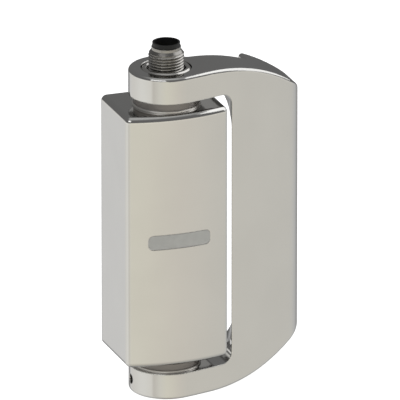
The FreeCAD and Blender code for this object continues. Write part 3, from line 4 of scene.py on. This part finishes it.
import bpy
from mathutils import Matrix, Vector


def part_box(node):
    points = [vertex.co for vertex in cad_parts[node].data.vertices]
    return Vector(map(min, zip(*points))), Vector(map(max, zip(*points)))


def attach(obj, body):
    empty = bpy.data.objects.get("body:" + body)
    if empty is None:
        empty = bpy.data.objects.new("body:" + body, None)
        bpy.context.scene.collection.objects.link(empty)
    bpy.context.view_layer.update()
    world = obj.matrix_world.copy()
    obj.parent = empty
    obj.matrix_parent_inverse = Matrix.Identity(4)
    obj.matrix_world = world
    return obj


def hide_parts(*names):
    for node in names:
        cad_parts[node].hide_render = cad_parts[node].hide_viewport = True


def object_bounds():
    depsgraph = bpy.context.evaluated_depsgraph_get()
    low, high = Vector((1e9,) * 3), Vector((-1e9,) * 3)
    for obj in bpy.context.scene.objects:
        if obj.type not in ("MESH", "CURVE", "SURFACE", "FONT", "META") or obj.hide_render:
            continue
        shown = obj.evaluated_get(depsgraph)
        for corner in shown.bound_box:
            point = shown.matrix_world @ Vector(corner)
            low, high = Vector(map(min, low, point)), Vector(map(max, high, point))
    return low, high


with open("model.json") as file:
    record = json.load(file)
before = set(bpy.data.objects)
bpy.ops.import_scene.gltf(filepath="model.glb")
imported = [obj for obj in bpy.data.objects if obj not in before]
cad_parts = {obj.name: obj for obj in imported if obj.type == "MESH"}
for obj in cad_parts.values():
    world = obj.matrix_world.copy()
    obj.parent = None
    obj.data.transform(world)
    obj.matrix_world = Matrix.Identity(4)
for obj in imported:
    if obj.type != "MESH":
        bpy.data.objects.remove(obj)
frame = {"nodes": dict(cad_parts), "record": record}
nodes = frame["nodes"]
cad_low, cad_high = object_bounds()

MM = 0.001
# The pivot axis and the plug, in the part's own sizes
AXIS_Y = -15.2 * MM
RING_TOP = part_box("pivot_sleeve")[1].z
SHELL_LOW, SHELL_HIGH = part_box("connector_shell")
THREAD_PITCH = 1.0 * MM
THREAD_DEPTH = 0.52 * MM
THREAD_RADIUS = 6.0 * MM
THREAD_START = RING_TOP - 6.4 * MM
THREAD_END = RING_TOP + 4.8 * MM
RIM_RADIUS = 4.95 * MM
RIM_LOW = RING_TOP + 6.2 * MM
SHELL_BORE = 4.7 * MM
SPIGOT_RADIUS = 5.5 * MM
FLANGE_RADIUS = 6.4 * MM
NECK_RADIUS = 5.8 * MM
FLANGE_LOW = RING_TOP - 10.1 * MM
FLANGE_HIGH = RING_TOP - 8.1 * MM
FOOT_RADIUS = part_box("upper_collar")[1].x
RIM_SOFT = 0.15 * MM
# Share of the thread's depth gained per pitch on a flank, and cut off for the groove's floor
FLANK_SLOPE = 2.6
FLANK_CUT = 0.22
RINGS_PER_PITCH = 20
SPOKES = 120
SMOOTH_ANGLE = math.radians(35)
# The photograph: parallel view from 20 degrees left and 20 degrees above
VIEW_AZIMUTH = math.radians(-20)
VIEW_ELEVATION = math.radians(20)
FRAME_WIDTH = 133.69 * MM
FRAME_CENTRE = Vector((10.572 * MM, -19.047 * MM, 9.743 * MM))
CAMERA_DISTANCE = 4.5
CAMERA_REACH = 100
SENSOR_MM = 36.0
# The floor: its side, how far it lies under the part, its grey, roughness and own light
FLOOR_SIZE = 6
FLOOR_GAP = 0.02 * MM
FLOOR_GREY = 0.8
FLOOR_ROUGH = 0.9
FLOOR_GLOW = 0.84
# Grain of each kind of steel: noise cells per millimetre, detail and stretch along the axes
GRAINS = {
    "turned": (9.0, 3.0, (1, 1, 1)),
    "upright": (2.4, 4.0, (1, 1, 0.05)),
    "plain": (2.0, 4.0, (1, 1, 1)),
}
STEEL_DEPTH = 0.02 * MM
PLASTIC_DETAIL = 4.0
PLASTIC_DEPTH = 0.05 * MM
# How far the grain changes the roughness
STEEL_SPREAD = 0.06
PLASTIC_SPREAD = 0.12
# Smudges: noise cells per millimetre, where on the noise they start and end, and how dark they are
STEEL_SMUDGE = (0.05, 0.35, 0.65, 0.97)
PLASTIC_SMUDGE = (0.4, 0.3, 0.7, 0.9)
SMUDGE_DETAIL = 3.0
COAT_ROUGH = 0.1
BEVEL_SAMPLES = 6
# The collars' feet: width in millimetres of the ring painted as a highlight, its painted highlight colour,
# and how much smoother the feet are
FOOT_WIDTH = 0.5
FOOT_PAINTED_HIGHLIGHT = (0.78, 0.76, 0.73, 1)
FOOT_SMOOTHER = 0.35
# Painted light and shade on the thread, by its height: painted shade darkens the grooves and the crests
# keep the full brighter colour; the plug's rim is painted a grey between groove and crest
THREAD_PAINTED_SHADE = ((0.1, 0.28), (0.8, 1.0))
RIM_SHARE = 0.42
# The boards: solder mask in two tones, the tracks under it, and their cells per millimetre
MASK = (0.02, 0.12, 0.06)
MASK_LIGHT = (0.025, 0.14, 0.07)
TRACK = (0.05, 0.24, 0.12)
TRACK_SCALE = 0.5


def inside(made):
    """The node tree of a material and its surface shader."""
    return made.node_tree, made.node_tree.nodes["Principled BSDF"]


def material(name):
    """A new node material, its node tree and its surface shader."""
    made = bpy.data.materials.new(name)
    made.use_nodes = True
    return made, *inside(made)


def source(shader, name):
    """The socket that an input of a shader is linked to."""
    return shader.inputs[name].links[0].from_socket


def node(tree, kind, **values):
    """A node of a kind, with its settings and the values of its inputs."""
    made = tree.nodes.new(kind)
    for key, value in values.items():
        if hasattr(made, key):
            setattr(made, key, value)
        else:
            made.inputs[key.replace("_", " ")].default_value = value
    return made


def feed(tree, socket, value):
    """Link a socket to another one, or give it a value."""
    if isinstance(value, bpy.types.NodeSocket):
        tree.links.new(value, socket)
    else:
        socket.default_value = value


def math_node(tree, operation, *values):
    """A sum, product or other calculation of sockets and numbers."""
    made = tree.nodes.new("ShaderNodeMath")
    made.operation = operation
    for socket, value in zip(made.inputs, values):
        feed(tree, socket, value)
    return made.outputs[0]


def ramp(tree, source, stops):
    """A colour ramp with grey or coloured stops."""
    made = tree.nodes.new("ShaderNodeValToRGB")
    tree.links.new(source, made.inputs["Fac"])
    elements = made.color_ramp.elements
    while len(elements) < len(stops):
        elements.new(0.5)
    for element, (place, colour) in zip(elements, stops):
        element.position = place
        element.color = (*colour, 1) if isinstance(colour, tuple) else (colour, colour, colour, 1)
    return made.outputs["Color"]


def blend(tree, kind, factor, first, second):
    """Two colours mixed by a factor in a way such as MIX or MULTIPLY."""
    made = node(tree, "ShaderNodeMix", data_type="RGBA", blend_type=kind)
    for name, value in (("Factor", factor), ("A", first), ("B", second)):
        feed(tree, made.inputs[name], value)
    return made.outputs["Result"]


def place_mm(tree):
    """The point of the part in millimetres, from its own frame."""
    where = tree.nodes.new("ShaderNodeTexCoord")
    scaled = node(tree, "ShaderNodeVectorMath", operation="SCALE")
    tree.links.new(where.outputs["Object"], scaled.inputs[0])
    scaled.inputs["Scale"].default_value = 1 / MM
    return scaled.outputs[0]


def radius_and_height(tree, place):
    """How far a point lies from the pivot axis, and its height."""
    parts = node(tree, "ShaderNodeSeparateXYZ")
    tree.links.new(place, parts.inputs[0])
    depth = math_node(tree, "SUBTRACT", parts.outputs["Y"], AXIS_Y / MM)
    squares = math_node(tree, "ADD", math_node(tree, "MULTIPLY", parts.outputs["X"], parts.outputs["X"]),
                        math_node(tree, "MULTIPLY", depth, depth))
    return math_node(tree, "SQRT", squares), parts.outputs["Z"]


def round_about_axis(tree, place):
    """The point by its distance from the pivot axis and its height, for turned grooves."""
    radius, height = radius_and_height(tree, place)
    joined = node(tree, "ShaderNodeCombineXYZ")
    tree.links.new(radius, joined.inputs["X"])
    tree.links.new(height, joined.inputs["Y"])
    return joined.outputs[0]


def noise(tree, place, scale, detail=2.0, stretch=(1, 1, 1)):
    """Noise at a scale per millimetre, stretched along the axes."""
    fit = node(tree, "ShaderNodeMapping")
    tree.links.new(place, fit.inputs["Vector"])
    fit.inputs["Scale"].default_value = stretch
    made = node(tree, "ShaderNodeTexNoise", Scale=scale, Detail=detail)
    tree.links.new(fit.outputs[0], made.inputs["Vector"])
    return made.outputs["Fac"]


def bump(tree, shader, height, strength, distance, edge=0.0):
    """Raise a surface by a height socket, over edges rounded by the given radius."""
    made = node(tree, "ShaderNodeBump", Strength=strength, Distance=distance)
    tree.links.new(height, made.inputs["Height"])
    if edge:
        rounding = node(tree, "ShaderNodeBevel", samples=BEVEL_SAMPLES, Radius=edge)
        tree.links.new(rounding.outputs[0], made.inputs["Normal"])
    tree.links.new(made.outputs[0], shader.inputs["Normal"])


def spread(tree, shader, grain, rough, width):
    """Let the grain change the roughness a little, about a middle value."""
    blurred = math_node(tree, "MULTIPLY_ADD", grain, width, rough - width / 2)
    tree.links.new(blurred, shader.inputs["Roughness"])


def smudged(tree, shader, place, colour, smudge):
    """Colour a surface, a little darker in soft smudges."""
    cells, start, end, share = smudge
    dark = tuple(share * part for part in colour)
    clouds = noise(tree, place, cells, SMUDGE_DETAIL)
    tree.links.new(ramp(tree, clouds, ((start, dark), (end, colour))), shader.inputs["Base Color"])


def steel(name, colour, rough, kind, edge=0.0, wave=0.02, coat=0.0):
    """Stainless steel, polished upright, turned about the pivot or plain."""
    made, tree, shader = material(name)
    place = place_mm(tree)
    grain = noise(tree, round_about_axis(tree, place) if kind == "turned" else place, *GRAINS[kind])
    shader.inputs["Metallic"].default_value = 1
    smudged(tree, shader, place, colour, STEEL_SMUDGE)
    spread(tree, shader, grain, rough, STEEL_SPREAD)
    shader.inputs["Coat Weight"].default_value = coat
    shader.inputs["Coat Roughness"].default_value = COAT_ROUGH
    bump(tree, shader, grain, wave, STEEL_DEPTH, edge)
    if edge and coat:
        tree.links.new(source(shader, "Normal"), shader.inputs["Coat Normal"])
    return made


def plastic(name, colour, rough, grain_scale=6.0, wave=0.1, coat=0.0, gloss=0.5):
    """Moulded plastic, rubber or a coated board with a fine surface grain."""
    made, tree, shader = material(name)
    place = place_mm(tree)
    grain = noise(tree, place, grain_scale, PLASTIC_DETAIL)
    smudged(tree, shader, place, colour, PLASTIC_SMUDGE)
    spread(tree, shader, grain, rough, PLASTIC_SPREAD)
    shader.inputs["Coat Weight"].default_value = coat
    shader.inputs["Specular IOR Level"].default_value = gloss
    bump(tree, shader, grain, wave, PLASTIC_DEPTH)
    return made


def board():
    """Green solder mask with copper tracks showing through as paler lines."""
    made = plastic("board_green", MASK, 0.35, grain_scale=5.0, wave=0.05, coat=0.3)
    tree, shader = inside(made)
    track = node(tree, "ShaderNodeTexBrick", Scale=TRACK_SCALE)
    tree.links.new(place_mm(tree), track.inputs["Vector"])
    for name, colour in (("Color1", MASK), ("Color2", MASK_LIGHT), ("Mortar", TRACK)):
        track.inputs[name].default_value = (*colour, 1)
    tree.links.new(track.outputs["Color"], shader.inputs["Base Color"])
    return made


def collar():
    """Blasted steel on the collars' walls; their feet carry a painted highlight ring in a light colour and
    are smoother.
    """
    made = steel("collar_steel", (0.34, 0.32, 0.305), 0.7, "turned", edge=0.2 * MM, wave=0.1, coat=0.5)
    tree, shader = inside(made)
    radius, _ = radius_and_height(tree, place_mm(tree))
    foot = math_node(tree, "GREATER_THAN", radius, FOOT_RADIUS / MM - FOOT_WIDTH)
    # Painted highlight: the foot ring gets a light colour in place of the light it reflects
    painted_foot_highlight = blend(tree, "MIX", foot, source(shader, "Base Color"), FOOT_PAINTED_HIGHLIGHT)
    tree.links.new(painted_foot_highlight, shader.inputs["Base Color"])
    smoother = math_node(tree, "MULTIPLY", foot, FOOT_SMOOTHER)
    rough = math_node(tree, "SUBTRACT", source(shader, "Roughness"), smoother)
    tree.links.new(rough, shader.inputs["Roughness"])
    return made


def plug():
    """Steel of the plug, with painted light and shade on the thread: painted shade darkens its grooves and
    its crests stay bright.
    """
    made = steel("plug_steel", (0.46, 0.445, 0.42), 0.27, "turned", wave=0.0, coat=0.5)
    tree, shader = inside(made)
    radius, height = radius_and_height(tree, place_mm(tree))
    crest = math_node(tree, "MULTIPLY_ADD", radius, MM / THREAD_DEPTH, 1 - THREAD_RADIUS / THREAD_DEPTH)
    above = math_node(tree, "GREATER_THAN", height, THREAD_END / MM)
    relief = math_node(tree, "MAXIMUM", crest, math_node(tree, "MULTIPLY", above, RIM_SHARE))
    # Painted shade in the thread's grooves and a middle grey on the rim, with the crests painted bright
    painted_light_and_shade = blend(tree, "MULTIPLY", 1.0, source(shader, "Base Color"), ramp(tree, relief, THREAD_PAINTED_SHADE))
    tree.links.new(painted_light_and_shade, shader.inputs["Base Color"])
    return made


FINISHES = {
    "polished_steel": steel("polished_steel", (0.585, 0.58, 0.565), 0.07, "upright", edge=0.6 * MM,
                            wave=0.01),
    "turned_steel": steel("turned_steel", (0.53, 0.52, 0.50), 0.2, "turned", edge=0.15 * MM, wave=0.25),
    "plain_steel": steel("plain_steel", (0.52, 0.52, 0.51), 0.3, "plain", edge=0.1 * MM, wave=0.15),
    "collar_steel": collar(),
    "plug_steel": plug(),
    "nut_brass": steel("nut_brass", (0.62, 0.47, 0.22), 0.3, "turned", edge=0.1 * MM, wave=0.2),
    "contact_gold": steel("contact_gold", (0.83, 0.62, 0.26), 0.2, "plain"),
    "magnet_grey": steel("magnet_grey", (0.42, 0.42, 0.43), 0.35, "plain"),
    "seal_rubber": plastic("seal_rubber", (0.025, 0.025, 0.025), 0.6, grain_scale=8.0, wave=0.2),
    "bearing_polymer": plastic("bearing_polymer", (0.07, 0.07, 0.07), 0.5, grain_scale=5.0),
    "insert_black": plastic("insert_black", (0.012, 0.012, 0.0125), 0.5, grain_scale=7.0, wave=0.15,
                            gloss=0.3),
    "window_smoke": plastic("window_smoke", (0.385, 0.385, 0.36), 0.38, grain_scale=4.0, wave=0.04,
                            coat=0.2),
    "lamp_clear": plastic("lamp_clear", (0.75, 0.76, 0.7), 0.25, grain_scale=4.0, wave=0.02, coat=0.3),
    "board_green": board(),
    "chip_black": plastic("chip_black", (0.02, 0.02, 0.022), 0.55, grain_scale=9.0, wave=0.2),
    "socket_cream": plastic("socket_cream", (0.66, 0.6, 0.46), 0.45),
    "ribbon_grey": plastic("ribbon_grey", (0.3, 0.31, 0.33), 0.5, grain_scale=3.0),
}


def finish_nodes():
    """Give every CAD node the material of its slot in the record."""
    for entry in frame["record"]["subparts"]:
        slots = nodes[entry["node"]].data.materials
        slots.clear()
        slots.append(FINISHES[entry["material_slot"]])


def lathe(name, rings, around, finish):
    """A closed piece from rings of radii: each ring has a height and a radius for each angle."""
    points, faces = [], []
    for radius_at, height in rings:
        for step in range(around):
            angle = 2 * math.pi * step / around
            radius = radius_at(angle)
            points.append((radius * math.cos(angle), AXIS_Y + radius * math.sin(angle), height))
    count = len(rings)
    for ring in range(count):
        following = (ring + 1) % count
        for step in range(around):
            beside = (step + 1) % around
            faces.append((ring * around + step, ring * around + beside,
                          following * around + beside, following * around + step))
    mesh = bpy.data.meshes.new(name)
    mesh.from_pydata(points, [], faces)
    mesh.validate()
    mesh.shade_smooth()
    mesh.set_sharp_from_angle(angle=SMOOTH_ANGLE)
    mesh.materials.append(finish)
    made = bpy.data.objects.new(name, mesh)
    bpy.context.scene.collection.objects.link(made)
    return made


def thread_radius(height):
    """Radius of the thread round the plug at a height, as a function of the angle."""
    fade = min(1.0, (height - THREAD_START) / THREAD_PITCH)
    if height > THREAD_END:
        cone = THREAD_RADIUS - (THREAD_RADIUS - RIM_RADIUS) * (height - THREAD_END) / (RIM_LOW - THREAD_END)
    else:
        cone = THREAD_RADIUS

    def radius(angle):
        turn = (height / THREAD_PITCH - angle / (2 * math.pi)) % 1.0
        flank = min(1.0, max(0.0, FLANK_SLOPE * abs(turn - 0.5) - FLANK_CUT))
        crest = THREAD_RADIUS - THREAD_DEPTH * (1 - flank) * fade
        return min(crest, cone)

    return radius


def level(radius):
    """A plain ring."""
    return lambda angle: radius


def make_plug_shell():
    """The plug shell with its cut thread, in place of the plain solid."""
    low, high = SHELL_LOW.z, SHELL_HIGH.z
    rings = [(level(SHELL_BORE), low), (level(SPIGOT_RADIUS), low), (level(SPIGOT_RADIUS), FLANGE_LOW),
             (level(FLANGE_RADIUS), FLANGE_LOW), (level(FLANGE_RADIUS), FLANGE_HIGH),
             (level(NECK_RADIUS), FLANGE_HIGH), (level(NECK_RADIUS), THREAD_START - RIM_SOFT)]
    steps = round((RIM_LOW - THREAD_START) / THREAD_PITCH * RINGS_PER_PITCH)
    for step in range(steps + 1):
        height = THREAD_START + (RIM_LOW - THREAD_START) * step / steps
        rings.append((thread_radius(height), height))
    # How far the middle of the quarter round on the rim lies in from its square corner
    corner = 0.3 * RIM_SOFT
    rings += [(level(RIM_RADIUS), RIM_LOW + RIM_SOFT), (level(RIM_RADIUS), high - RIM_SOFT),
              (level(RIM_RADIUS - corner), high - corner), (level(RIM_RADIUS - RIM_SOFT), high),
              (level(SHELL_BORE), high)]
    shell = lathe("plug_shell_threaded", rings, SPOKES, FINISHES["plug_steel"])
    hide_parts("connector_shell")
    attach(shell, "switch_body")


def make_floor():
    """A pale floor under the part that keeps its shadow and shows white elsewhere."""
    bpy.ops.mesh.primitive_plane_add(size=FLOOR_SIZE, location=(0, 0, cad_low.z - FLOOR_GAP))
    floor = bpy.context.object
    floor.name = "studio_floor"
    made, tree, shader = material("studio_floor")
    shader.inputs["Base Color"].default_value = (FLOOR_GREY, FLOOR_GREY, FLOOR_GREY, 1)
    shader.inputs["Roughness"].default_value = FLOOR_ROUGH
    shader.inputs["Emission Color"].default_value = (1, 1, 1, 1)
    shader.inputs["Emission Strength"].default_value = FLOOR_GLOW
    floor.data.materials.append(made)
    floor.visible_glossy = False


# What the steel reflects from the light table, by the direction round the part in degrees:
# 0 is +X, 90 is +Y
TABLE = ((-180, (1.08, 1.075, 1.03)), (-157, (1.04, 1.02, 0.96)), (-149, (0.84, 0.81, 0.75)),
         (-129, (0.98, 0.96, 0.88)), (-109, (1.02, 0.99, 0.865)), (-90, (0.99, 0.95, 0.84)),
         (-70, (0.94, 0.895, 0.81)), (-35, (0.87, 0.85, 0.79)), (-8, (0.83, 0.82, 0.78)),
         (15, 0.72), (25, 0.6), (38, 0.42), (46, 0.3), (58, 0.45), (86, 0.45), (97, 0.3), (103, 0.5),
         (108, 0.84), (114, (0.91, 0.9, 0.875)), (134, (0.97, 0.955, 0.915)), (165, (1.08, 1.07, 1.03)))
# How far over the horizon the table ends in each direction
TABLE_END = ((-180, 0), (-150, 2), (-30, 2), (20, -2), (45, -15), (90, -15), (120, -4))
# How wide the change from table to studio is, in degrees
TABLE_BLUR = 3
# The table is darker under the part and brighter towards its far edge, by the height in degrees
TABLE_GLOW = ((-90, 0.65), (-60, 0.75), (-34, 1.0), (-16, 1.0), (-4, 1.2), (6, 1.3))
# What the steel reflects from the studio above, by the height in degrees
STUDIO = ((-20, 0.12), (-4, 0.15), (8, 0.18), (40, 0.19), (52, 0.22), (62, 0.4), (72, 0.6), (90, 0.62))
# Softboxes: direction round the part and height in degrees, distance, width, height, power
LAMPS = (("key", 4, 37, 0.9, 1.04, 0.84, 3.7), ("left", -137, 38, 0.9, 0.66, 0.4, 1.25))


def by_turn(stops):
    """Stops by direction as places on a ramp that starts and ends at -X."""
    return [((turn + 180) / 360, value) for turn, value in stops] + [(1.0, stops[0][1])]


def by_height(stops):
    """Stops by height as places on a ramp from straight below to straight above."""
    return [((lift + 90) / 180, value) for lift, value in stops]


def make_world():
    """White for the camera; round the part a light table below and a dim studio above."""
    world = bpy.data.worlds.new("studio")
    bpy.context.scene.world = world
    world.use_nodes = True
    tree = world.node_tree
    tree.nodes.clear()
    out = node(tree, "ShaderNodeOutputWorld")
    where = node(tree, "ShaderNodeTexCoord")
    parts = node(tree, "ShaderNodeSeparateXYZ")
    tree.links.new(where.outputs["Generated"], parts.inputs[0])
    lifted = math_node(tree, "ARCSINE", parts.outputs["Z"])
    turned = math_node(tree, "ARCTAN2", parts.outputs["Y"], parts.outputs["X"])
    upward = math_node(tree, "MULTIPLY_ADD", lifted, 1 / math.pi, 0.5)
    around = math_node(tree, "MULTIPLY_ADD", turned, 0.5 / math.pi, 0.5)
    over = ramp(tree, around, by_turn([(turn, 0.5 + lift / 180) for turn, lift in TABLE_END]))
    past = math_node(tree, "SUBTRACT", upward, over)
    split = math_node(tree, "MULTIPLY_ADD", past, 90 / TABLE_BLUR, 0.5)
    split.node.use_clamp = True
    table = blend(tree, "MULTIPLY", 1.0, ramp(tree, around, by_turn(TABLE)),
                  ramp(tree, upward, by_height(TABLE_GLOW)))
    studio = ramp(tree, upward, by_height(STUDIO))
    light = blend(tree, "MIX", split, table, studio)
    surroundings = node(tree, "ShaderNodeBackground", Strength=1.0)
    tree.links.new(light, surroundings.inputs["Color"])
    white = node(tree, "ShaderNodeBackground", Strength=1.0)
    white.inputs["Color"].default_value = (1, 1, 1, 1)
    ray = node(tree, "ShaderNodeLightPath")
    shown = node(tree, "ShaderNodeMixShader")
    seen = math_node(tree, "MAXIMUM", ray.outputs["Is Camera Ray"], ray.outputs["Is Transmission Ray"])
    tree.links.new(seen, shown.inputs["Fac"])
    tree.links.new(surroundings.outputs[0], shown.inputs[1])
    tree.links.new(white.outputs[0], shown.inputs[2])
    tree.links.new(shown.outputs[0], out.inputs["Surface"])


def make_lamps():
    """Softboxes that face the part."""
    aim = (cad_low + cad_high) / 2
    for name, around, up, distance, wide, high, power in LAMPS:
        turn, lift = math.radians(around), math.radians(up)
        way = Vector((math.cos(turn) * math.cos(lift), math.sin(turn) * math.cos(lift), math.sin(lift)))
        light = bpy.data.lights.new(name + "_softbox", "AREA")
        light.shape = "RECTANGLE"
        light.size = wide
        light.size_y = high
        light.energy = power
        lamp = bpy.data.objects.new(light.name, light)
        bpy.context.scene.collection.objects.link(lamp)
        lamp.location = aim + way * distance
        lamp.rotation_euler = way.to_track_quat("Z", "Y").to_euler()


def make_camera():
    """A long lens from far off, so that the view is nearly parallel as in the photograph."""
    back = Vector((math.sin(VIEW_AZIMUTH) * math.cos(VIEW_ELEVATION),
                   -math.cos(VIEW_AZIMUTH) * math.cos(VIEW_ELEVATION), math.sin(VIEW_ELEVATION)))
    data = bpy.data.cameras.new("camera")
    data.sensor_width = SENSOR_MM
    data.lens = SENSOR_MM * CAMERA_DISTANCE / FRAME_WIDTH
    data.clip_end = CAMERA_REACH
    camera = bpy.data.objects.new("camera", data)
    bpy.context.scene.collection.objects.link(camera)
    camera.location = FRAME_CENTRE + back * CAMERA_DISTANCE
    camera.rotation_euler = back.to_track_quat("Z", "Y").to_euler()
    bpy.context.scene.camera = camera


finish_nodes()
make_plug_shell()
make_floor()
make_world()
make_lamps()
make_camera()
bpy.context.scene.view_settings.view_transform = "Standard"
